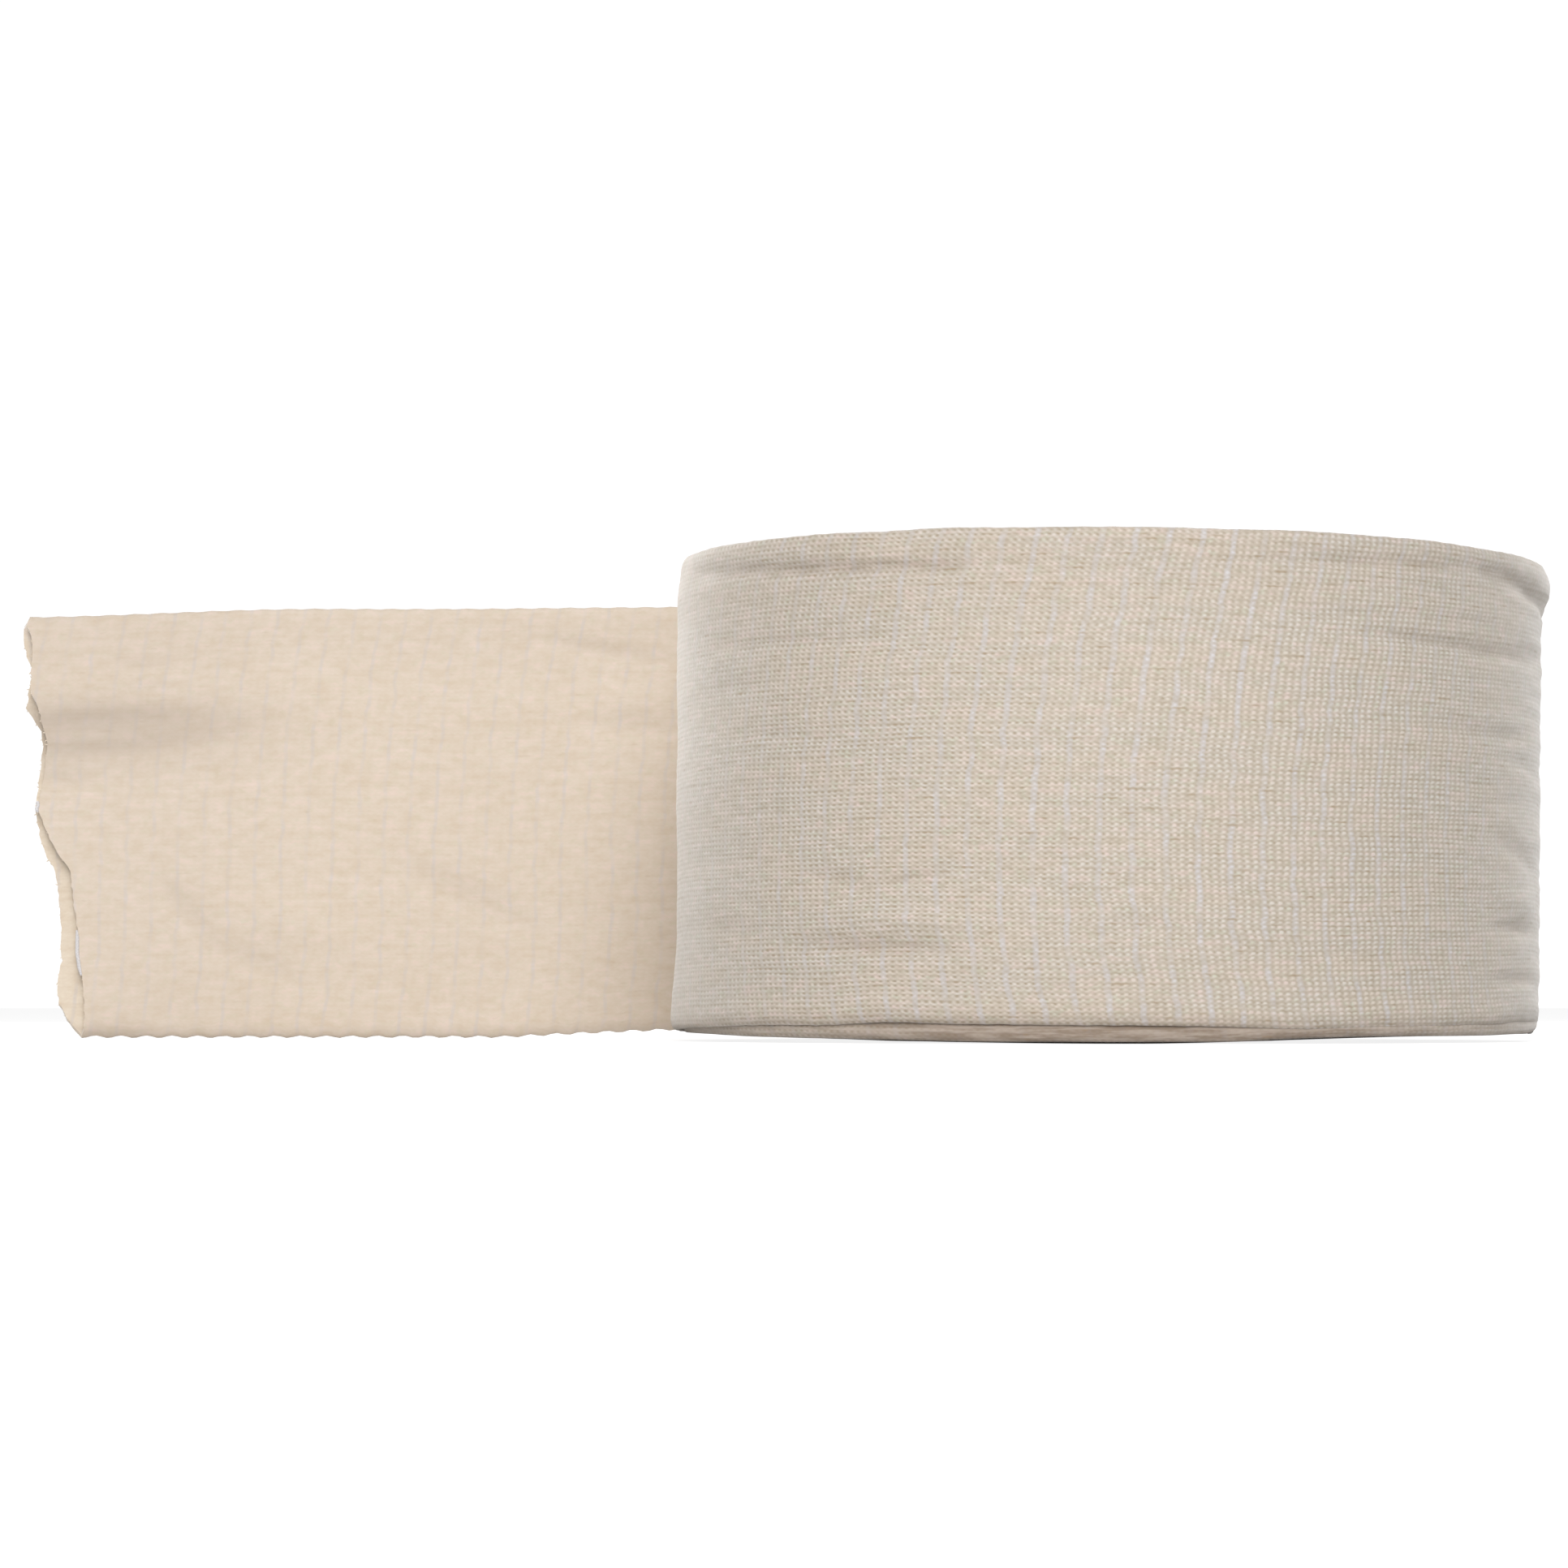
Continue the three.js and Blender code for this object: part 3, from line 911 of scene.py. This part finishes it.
class Wiring:
    """Adds shader nodes to one material or world and joins them."""

    def __init__(self, owner: bpy.types.ID, output: str = "ShaderNodeOutputMaterial") -> None:
        """Clears the nodes of a material or a world, but for a new output."""
        self.owner = owner
        owner.use_nodes = True
        self.tree = owner.node_tree
        self.tree.nodes.clear()
        self.output = self.tree.nodes.new(output)

    def feed(self, socket: Socket, value: object) -> None:
        """Joins a socket to another one, or sets its number or colour."""
        if isinstance(value, Socket):
            self.tree.links.new(value, socket)
        elif value is not None:
            socket.default_value = value

    def node(self, kind: str, *values: object, **settings: object) -> bpy.types.Node:
        """Adds a node of a kind, with its settings, and feeds its inputs in order, skipping None."""
        made = self.tree.nodes.new(kind)
        for key, setting in settings.items():
            setattr(made, key, setting)
        for socket, value in zip(made.inputs, values):
            self.feed(socket, value)
        return made

    def math(self, operation: str, first: object, second: object = None) -> Socket:
        """The result of a sum on one or two numbers or sockets."""
        return self.node("ShaderNodeMath", first, second, operation=operation).outputs[0]

    def add(self, *terms: object) -> Socket:
        """The sum of two or more numbers or sockets."""
        total = terms[0]
        for term in terms[1:]:
            total = self.math("ADD", total, term)
        return total

    def times(self, first: object, second: object) -> Socket:
        """The product of two numbers or sockets."""
        return self.math("MULTIPLY", first, second)

    def wave(self, phase: object) -> Socket:
        """The cosine of a phase that is counted in whole waves."""
        return self.math("COSINE", self.times(phase, FULL_TURN))

    def step(
        self, value: object, low: float, high: float, to: Pair = (0.0, 1.0), kind: str = "SMOOTHSTEP"
    ) -> Socket:
        """A soft step of a value, from one number to another."""
        made = self.node("ShaderNodeMapRange", value, low, high, *to, interpolation_type=kind)
        return made.outputs["Result"]

    def combine(self, x: object, y: object, z: object = 0.0) -> Socket:
        """A vector of three numbers or sockets."""
        return self.node("ShaderNodeCombineXYZ", x, y, z).outputs[0]

    def noise(self, vector: object, scale: float, detail: float = 2.0, roughness: float = 0.5) -> Socket:
        """Smooth noise from about 0 to 1 over a vector."""
        return self.node("ShaderNodeTexNoise", vector, None, scale, detail, roughness).outputs["Fac"]

    def mix(self, share: object, first: object, second: object) -> Socket:
        """A colour between two colours."""
        made = self.node("ShaderNodeMix", share, data_type="RGBA")
        self.feed(made.inputs[6], first)
        self.feed(made.inputs[7], second)
        return made.outputs[2]

    def attribute(self, name: str) -> Socket:
        """A shading value of the mesh."""
        return self.node("ShaderNodeAttribute", attribute_name=name).outputs["Fac"]

    def unevenness(self, value: object, strength: object) -> Socket:
        """A noise moved to lie round nought, times its strength."""
        return self.times(self.math("SUBTRACT", value, 0.5), strength)

    def cloth(self, colour: object, height: object, depth: float, **numbers: float) -> bpy.types.Material:
        """Finishes the material as a rough cloth with fine bumps.

        Args:
            colour: its colour.
            height: how high its bumps stand, from 0 to 1.
            depth: the depth of a bump of 1, in metres.
            numbers: other inputs of the surface, by their names with a line for each space.

        Returns:
            The finished material.
        """
        bump = self.node("ShaderNodeBump", 1.0, depth, None, height)
        surface = self.node("ShaderNodeBsdfPrincipled", colour)
        for name, number in numbers.items():
            surface.inputs[name.replace("_", " ")].default_value = number
        self.feed(surface.inputs["Normal"], bump.outputs[0])
        self.feed(self.output.inputs["Surface"], surface.outputs[0])
        return self.owner


@dataclass(frozen=True)
class KnitFinish:
    """Unbleached cotton jersey with a pale covered elastic yarn in every fourth course."""

    name: str = "cotton_knit_with_elastic"
    cream: Colour = linear(216, 214, 210)
    tan: Colour = linear(214, 206, 196)
    rosy: Colour = linear(219, 204, 200)
    green_grey: Colour = linear(203, 206, 192)
    hole: Colour = linear(172, 161, 144)
    brown: Colour = linear(166, 144, 116)
    shade: Colour = linear(136, 121, 108)
    pale_shade: Colour = linear(169, 157, 147)
    elastic: Colour = linear(213, 214, 221)
    # Colours of the loose end: the same cotton, painted lighter and warmer as a glow of light shining through
    # the thin cloth from behind
    loose_backlit_glow: Colour = linear(237, 230, 221)
    loose_rosy: Colour = linear(239, 224, 218)
    loose_grey: Colour = linear(226, 223, 209)
    loose_hole: Colour = linear(210, 191, 167)
    loose_elastic: Colour = linear(217, 217, 222)
    # Painted light: the inside of the tube at the cut, paler and warmer for light shining through the cloth
    # into it
    inside_glow: Colour = linear(247, 240, 226)
    bump_depth: float = 0.0007 * MM

    def _stitches(self, w: Wiring, courses: object, wales: object) -> Socket:
        """The brightness of the stitches, from four waves, in hundredths."""
        up = w.math("SUBTRACT", courses, wales)
        down = w.add(courses, wales)
        rising = w.wave(w.add(up, w.attribute("rising_shift")))
        falling = w.wave(w.math("SUBTRACT", down, w.attribute("falling_shift")))
        return w.add(
            w.times(rising, w.attribute("rising")),
            w.times(falling, w.attribute("falling")),
            w.times(w.wave(courses), w.attribute("columns")),
            w.times(w.wave(wales), w.attribute("rows")),
        )

    def dress(self) -> bpy.types.Material:
        """Makes the material from the knit coordinates and the shading values of the mesh."""
        w = Wiring(bpy.data.materials.new(self.name))
        split = w.node("ShaderNodeSeparateXYZ", w.node("ShaderNodeUVMap", uv_map=KNIT_MAP).outputs[0])
        loose = w.attribute("loose")
        u, v = split.outputs[0], split.outputs[1]

        def specks(along: float, up: float, seed: float, detail: float = 2.0, rough: float = 0.5) -> Socket:
            """Noise that changes so often in one course and one wale."""
            return w.noise(w.combine(w.times(u, along), w.times(v, up), seed), 1.0, detail, rough)

        # The courses and wales wander a little
        courses = w.add(u, w.unevenness(specks(0.10, 0.16, 0.0, 3.0), 1.5))
        wales = w.add(v, w.unevenness(specks(0.05, 0.22, 7.0, 3.0), 1.2))

        # The colour of the cotton, with painted glow on the loose end and inside the tube
        grain = w.noise(w.combine(u, v, 3.0), 1.7, 3.0, 0.6)
        each = specks(0.8, 0.9, 17.0, 1.0)
        streak = specks(0.14, 0.8, 5.0, rough=0.6)
        patch = specks(0.07, 0.13, 9.0)
        blush = specks(0.4, 0.5, 21.0, rough=0.6)
        tuft = specks(0.5, 0.5, 11.0, rough=0.6)

        colour = w.mix(w.step(patch, 0.36, 0.64, (0.1, 0.9)), self.cream, self.tan)
        colour = w.mix(w.step(streak, 0.5, 0.7, (0.0, 0.5)), colour, self.rosy)
        # Painted glow on the loose end, for light shining through the thin cloth
        colour = w.mix(w.times(loose, 0.85), colour, self.loose_backlit_glow)
        colour = w.mix(w.step(blush, 0.5, 0.72, (0.0, 0.8)), colour, w.mix(loose, self.rosy, self.loose_rosy))
        grey = w.mix(loose, self.green_grey, self.loose_grey)
        colour = w.mix(w.step(tuft, 0.5, 0.72, (0.0, 0.8)), colour, grey)
        # Painted light inside the tube at the cut
        colour = w.mix(w.times(w.attribute("inside"), 0.9), colour, self.inside_glow)

        # The elastic yarns, narrower on the loose end and hidden here and there
        beside = w.wave(w.times(courses, 1 / COURSES_PER_ELASTIC))
        elastic = w.step(w.math("SUBTRACT", beside, w.times(loose, 0.1)), 0.66, 0.95)
        broken = specks(0.3, 0.17, 15.0)
        shown = w.attribute("elastic")
        covered = w.times(w.times(elastic, shown), w.step(broken, 0.36, 0.62, (0.25, 0.85)))
        colour = w.mix(covered, colour, w.mix(loose, self.elastic, self.loose_elastic))

        # Stitches and their unevenness, in hundredths of brightness
        stitches = self._stitches(w, courses, wales)
        row_number = w.math("ROUND", w.add(wales, 0.5))
        dash_at = w.noise(w.combine(w.times(u, 0.4), w.times(row_number, 3.7), 13.0), 1.0, 1.0)
        between = w.step(w.wave(wales), 0.2, -0.9)
        uneven = w.step(each, 0.25, 0.75, (0.8, 2.2))
        stitches = w.times(stitches, w.times(uneven, w.step(elastic, 0.0, 1.0, (1.0, 0.6))))
        spots = w.unevenness(each, 18.0)
        fuzz = w.unevenness(grain, 16.0)
        dark_rows = w.times(w.times(between, w.step(dash_at, 0.5, 0.75)), -9.0)
        lines = w.unevenness(streak, w.step(shown, 0.3, 0.9, (26.0, 18.0)))
        lines = w.times(lines, w.step(loose, 0.0, 1.0, (1.0, 0.8)))
        cells = w.unevenness(blush, w.step(loose, 0.0, 1.0, (22.0, 32.0)))
        patches = w.unevenness(patch, 12.0)
        sharp = w.step(loose, 0.0, 1.0, (1.0, 0.12))
        bright = w.add(w.times(w.add(stitches, spots, fuzz, dark_rows), sharp), lines, cells, patches)
        # Darker where the stitches sink: the yarn's own darker tone, and painted shade in the hollows between
        # stitches
        deep = w.step(bright, 20.0, -28.0, (0.0, 1.1), kind="LINEAR")
        colour = w.mix(deep, colour, w.mix(loose, self.hole, self.loose_hole))

        # Lasting shade, and brown flecks
        streaky = w.step(streak, 0.4, 0.62)
        shade = w.mix(w.math("MAXIMUM", streaky, loose), self.shade, self.pale_shade)
        colour = w.mix(w.attribute("shaded"), colour, shade)
        dash = w.times(w.step(dash_at, 0.64, 0.74), between)
        dash = w.times(dash, w.step(loose, 0.0, 1.0, (0.32, 0.08)))
        colour = w.mix(dash, colour, self.brown)

        height = w.add(w.times(w.add(stitches, fuzz), sharp), w.times(lines, 0.6))
        sheen = {"Sheen_Weight": 0.55, "Sheen_Roughness": 0.5}
        return w.cloth(colour, height, self.bump_depth, Roughness=0.95, Specular_IOR_Level=0.12, **sheen)


@dataclass(frozen=True)
class YarnFinish:
    """Plain cotton yarn, or the covered elastic yarn, where single ends show."""

    name: str
    light: Colour
    dark: Colour

    def dress(self) -> bpy.types.Material:
        """Makes the material, with fine fibres along the yarn."""
        w = Wiring(bpy.data.materials.new(self.name))
        place = w.node("ShaderNodeTexCoord").outputs["Object"]
        fibres = w.noise(place, 4200.0, 3.0, 0.6)
        colour = w.mix(w.step(fibres, 0.3, 0.7), self.dark, self.light)
        return w.cloth(colour, fibres, 0.05 * MM, Roughness=0.9, Sheen_Weight=0.2)


@dataclass
class RawEdge:
    """The cut ends of the yarns along the raw edge of both layers."""

    cloth: LastTurn
    ends_per_layer: int = 64
    radius: float = 0.10 * MM
    shortest: float = 0.25 * MM
    longest: float = 0.65 * MM
    seed: int = 7
    bends: tuple[tuple[Point, float], ...] = (
        ((0.0, 0.3, 2.4), 1.15),
        ((0.5, 0.9, 2.3), 0.9),
        ((0.6, 1.0, 1.8), 0.45),
    )

    def _model_end(self) -> Object:
        """One cut yarn end, in units of its radius: a ring drawn out in steps that bend and thin."""
        bpy.ops.mesh.primitive_circle_add(vertices=5, radius=1.0, fill_type="NGON")
        draw_out(self.bends)
        return bpy.context.active_object

    def build(self) -> Object:
        """Sets copies of the modelled end along both raw edges, joins them and returns the piece."""
        model = self._model_end()
        modelled = sum(shift[2] for shift, _ in self.bends)
        draw = random.Random(self.seed)
        copies = []
        for layer in Layer:
            for i in range(self.ends_per_layer):
                level = 0.02 + 0.96 * (i + draw.uniform(-0.4, 0.4)) / self.ends_per_layer
                place = self.cloth.cut_place(layer, min(max(level, 0.015), 0.985))
                aim = Vector((-1.0, draw.uniform(-0.5, 0.5), draw.uniform(-0.7, 0.7)))
                turn = aim.to_track_quat("Z", "Y").to_matrix().to_4x4()
                spin = Matrix.Rotation(draw.uniform(0, FULL_TURN), 4, "Z")
                thick = self.radius * draw.uniform(0.7, 1.2)
                length = draw.uniform(self.shortest, self.longest) / modelled
                size = Matrix.Diagonal((thick, thick, length, 1.0))
                inset = Matrix.Translation(place + Vector((0.25 * MM, 0, 0)))
                copies.append(put("yarn_end", model.data.copy()))
                copies[-1].data.transform(inset @ turn @ spin @ size)
        bpy.data.objects.remove(model)
        return join(copies, "raw_edge_yarn_ends")


@dataclass
class EdgeYarn:
    """The covered elastic yarn that lies bare along the front raw edge, in one long and one short length."""

    cloth: LastTurn
    spans: tuple[Pair, ...] = ((0.145, 0.253), (0.535, 0.562))
    radius: float = 0.33 * MM
    steps: int = 6

    def _model_length(self, low: float, high: float) -> Object:
        """Models one length of yarn between two levels, thinner at both ends, and returns it."""
        levels = [lerp(low, high, i / self.steps) for i in range(self.steps + 1)]
        aside = Vector((-0.5 * self.radius, -self.radius, 0.0))
        path = [self.cloth.cut_place(Layer.INWARD, level) + aside for level in levels]
        tip = 0.5 * self.radius
        bpy.ops.mesh.primitive_circle_add(vertices=10, radius=tip, fill_type="NGON", location=path[0])
        bpy.ops.object.transform_apply(location=True, rotation=False, scale=False)
        sizes = [2.0] + [1.0] * (self.steps - 2) + [0.5]
        draw_out([(after - before, size) for before, after, size in zip(path, path[1:], sizes)])
        return bpy.context.active_object

    def build(self) -> Object:
        """Models every length, joins them and returns the piece."""
        lengths = [self._model_length(low, high) for low, high in self.spans]
        return join(lengths, "raw_edge_elastic_yarn")


@dataclass(frozen=True)
class Lamp:
    """A soft square light: where it stands, its side, its power, its target and its warmth from 0 to 1."""

    name: str
    place: Point
    side: float
    watts: float
    target: Point = (0.0, 0.0, 0.04)
    warm: float = 0.0


@dataclass
class Studio:
    """The pale floor, the soft white surroundings, the lights and the camera."""

    eye: Point = (-51.4 * MM, -795 * MM, 5.5 * MM)
    pitch_up: float = math.radians(2.565)
    focal_pixels: float = 6117.0
    frame_pixels: float = 1932.0
    sensor: float = 36.0
    floor_side: float = 30.0
    ambient: float = 0.28
    lamps: tuple[Lamp, ...] = (
        Lamp("key", (0.05, -1.4, 1.25), 0.8, 14.4),
        Lamp("front_fill", (0.0, -1.5, 0.3), 0.5, 3.6),
        Lamp("rim_left", (-0.5, 0.6, 0.4), 0.4, 4.6),
        Lamp("rim_right", (0.5, 0.6, 0.4), 0.4, 2.0),
        Lamp("loose_end_warmth", (-0.14, -0.7, 0.32), 0.25, 1.35, (-0.07, 0.07, 0.03), 0.6),
    )

    def camera(self) -> None:
        """Places the camera at the photograph's viewing angle."""
        data = bpy.data.cameras.new("camera")
        data.sensor_width = self.sensor
        data.lens = self.sensor * self.focal_pixels / self.frame_pixels
        data.clip_start = 0.01
        data.clip_end = 100.0
        camera = put("camera", data)
        camera.location = self.eye
        camera.rotation_euler = (math.pi / 2 + self.pitch_up, 0.0, 0.0)
        bpy.context.scene.camera = camera

    def floor(self) -> None:
        """Lays a pale floor: near white to look at, and darker as a light, so undersides stay in shade."""
        bpy.ops.mesh.primitive_plane_add(size=self.floor_side, location=(0, 0, -0.02 * MM))
        floor = bpy.context.active_object
        floor.name = "floor"
        w = Wiring(bpy.data.materials.new("pale_floor"))
        grey = w.node("ShaderNodeBsdfDiffuse", (0.3, 0.3, 0.3, 1.0))
        glow = w.node("ShaderNodeEmission", (1.0, 1.0, 1.0, 1.0), 0.86)
        seen = w.node("ShaderNodeAddShader", grey.outputs[0], glow.outputs[0])
        shining = w.node("ShaderNodeBsdfDiffuse", (0.7, 0.69, 0.68, 1.0))
        from_camera = w.node("ShaderNodeLightPath").outputs["Is Camera Ray"]
        both = w.node("ShaderNodeMixShader", from_camera, shining.outputs[0], seen.outputs[0])
        w.feed(w.output.inputs["Surface"], both.outputs[0])
        floor.data.materials.append(w.owner)
        floor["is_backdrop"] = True

    def surroundings(self) -> None:
        """Sets a white surround: full white to look at, and softer as a light."""
        w = Wiring(bpy.data.worlds.new("white_surround"), "ShaderNodeOutputWorld")
        from_camera = w.node("ShaderNodeLightPath").outputs["Is Camera Ray"]
        strength = w.step(from_camera, 0.0, 1.0, (self.ambient, 1.05), kind="LINEAR")
        white = w.node("ShaderNodeBackground", (1.0, 1.0, 1.0, 1.0), strength)
        w.feed(w.output.inputs["Surface"], white.outputs[0])
        bpy.context.scene.world = w.owner

    def light(self, lamp: Lamp) -> None:
        """Adds one of the lights."""
        data = bpy.data.lights.new(lamp.name, "AREA")
        data.size = lamp.side
        data.energy = lamp.watts
        data.color = (1.0, 1.0 - 0.25 * lamp.warm, 1.0 - 0.5 * lamp.warm)
        made = put(lamp.name, data)
        made.location = lamp.place
        made.rotation_euler = (Vector(lamp.target) - Vector(lamp.place)).to_track_quat("-Z", "Y").to_euler()
        made.visible_camera = False

    def build(self) -> None:
        """Sets up the whole studio."""
        self.camera()
        self.floor()
        self.surroundings()
        for lamp in self.lamps:
            self.light(lamp)
        scene = bpy.context.scene
        scene.view_settings.view_transform = "Standard"
        scene.view_settings.look = "None"


def finish_piece(piece: Object, material: bpy.types.Material) -> None:
    """Gives a piece its material and its body, and reports it."""
    piece.data.materials.clear()
    piece.data.materials.append(material)
    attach(piece, "root")
    LOG.info("%s: %d faces", piece.name, len(piece.data.polygons))


def main() -> None:
    """Builds and dresses the bandage in order."""
    logging.basicConfig(level=logging.INFO, format="%(message)s")
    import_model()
    cad_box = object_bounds()
    _, roll_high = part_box("wound_roll")
    loose_low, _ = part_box("loose_end")
    winding = Winding(radius=roll_high[1])
    heights = Heights(outer_top=roll_high[2])

    knit = KnitFinish().dress()
    last_turn = LastTurn(winding, heights, tip=-loose_low[0])
    outer = last_turn.build()
    finish_piece(outer, knit)
    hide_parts("loose_end", "wound_roll")

    wound = WoundTurns(winding, heights)
    inner = wound.build()
    finish_piece(inner, knit)
    inner_length = winding.length_to(winding.middle_radius / winding.pitch) - winding.length_to(wound.start)
    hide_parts("wound_roll")

    cotton = YarnFinish("cotton_yarn", linear(238, 229, 215), linear(216, 201, 180))
    ends = RawEdge(last_turn).build()
    finish_piece(ends, cotton.dress())
    elastic = YarnFinish("covered_elastic_yarn", linear(230, 231, 236), linear(204, 203, 206))
    yarn = EdgeYarn(last_turn).build()
    finish_piece(yarn, elastic.dress())

    Studio().build()
    boxes = {"cad": cad_box, "visual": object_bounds()}
    {name: [list(corner) for corner in box] for name, box in boxes.items()}


if __name__ == "__main__":
    main()
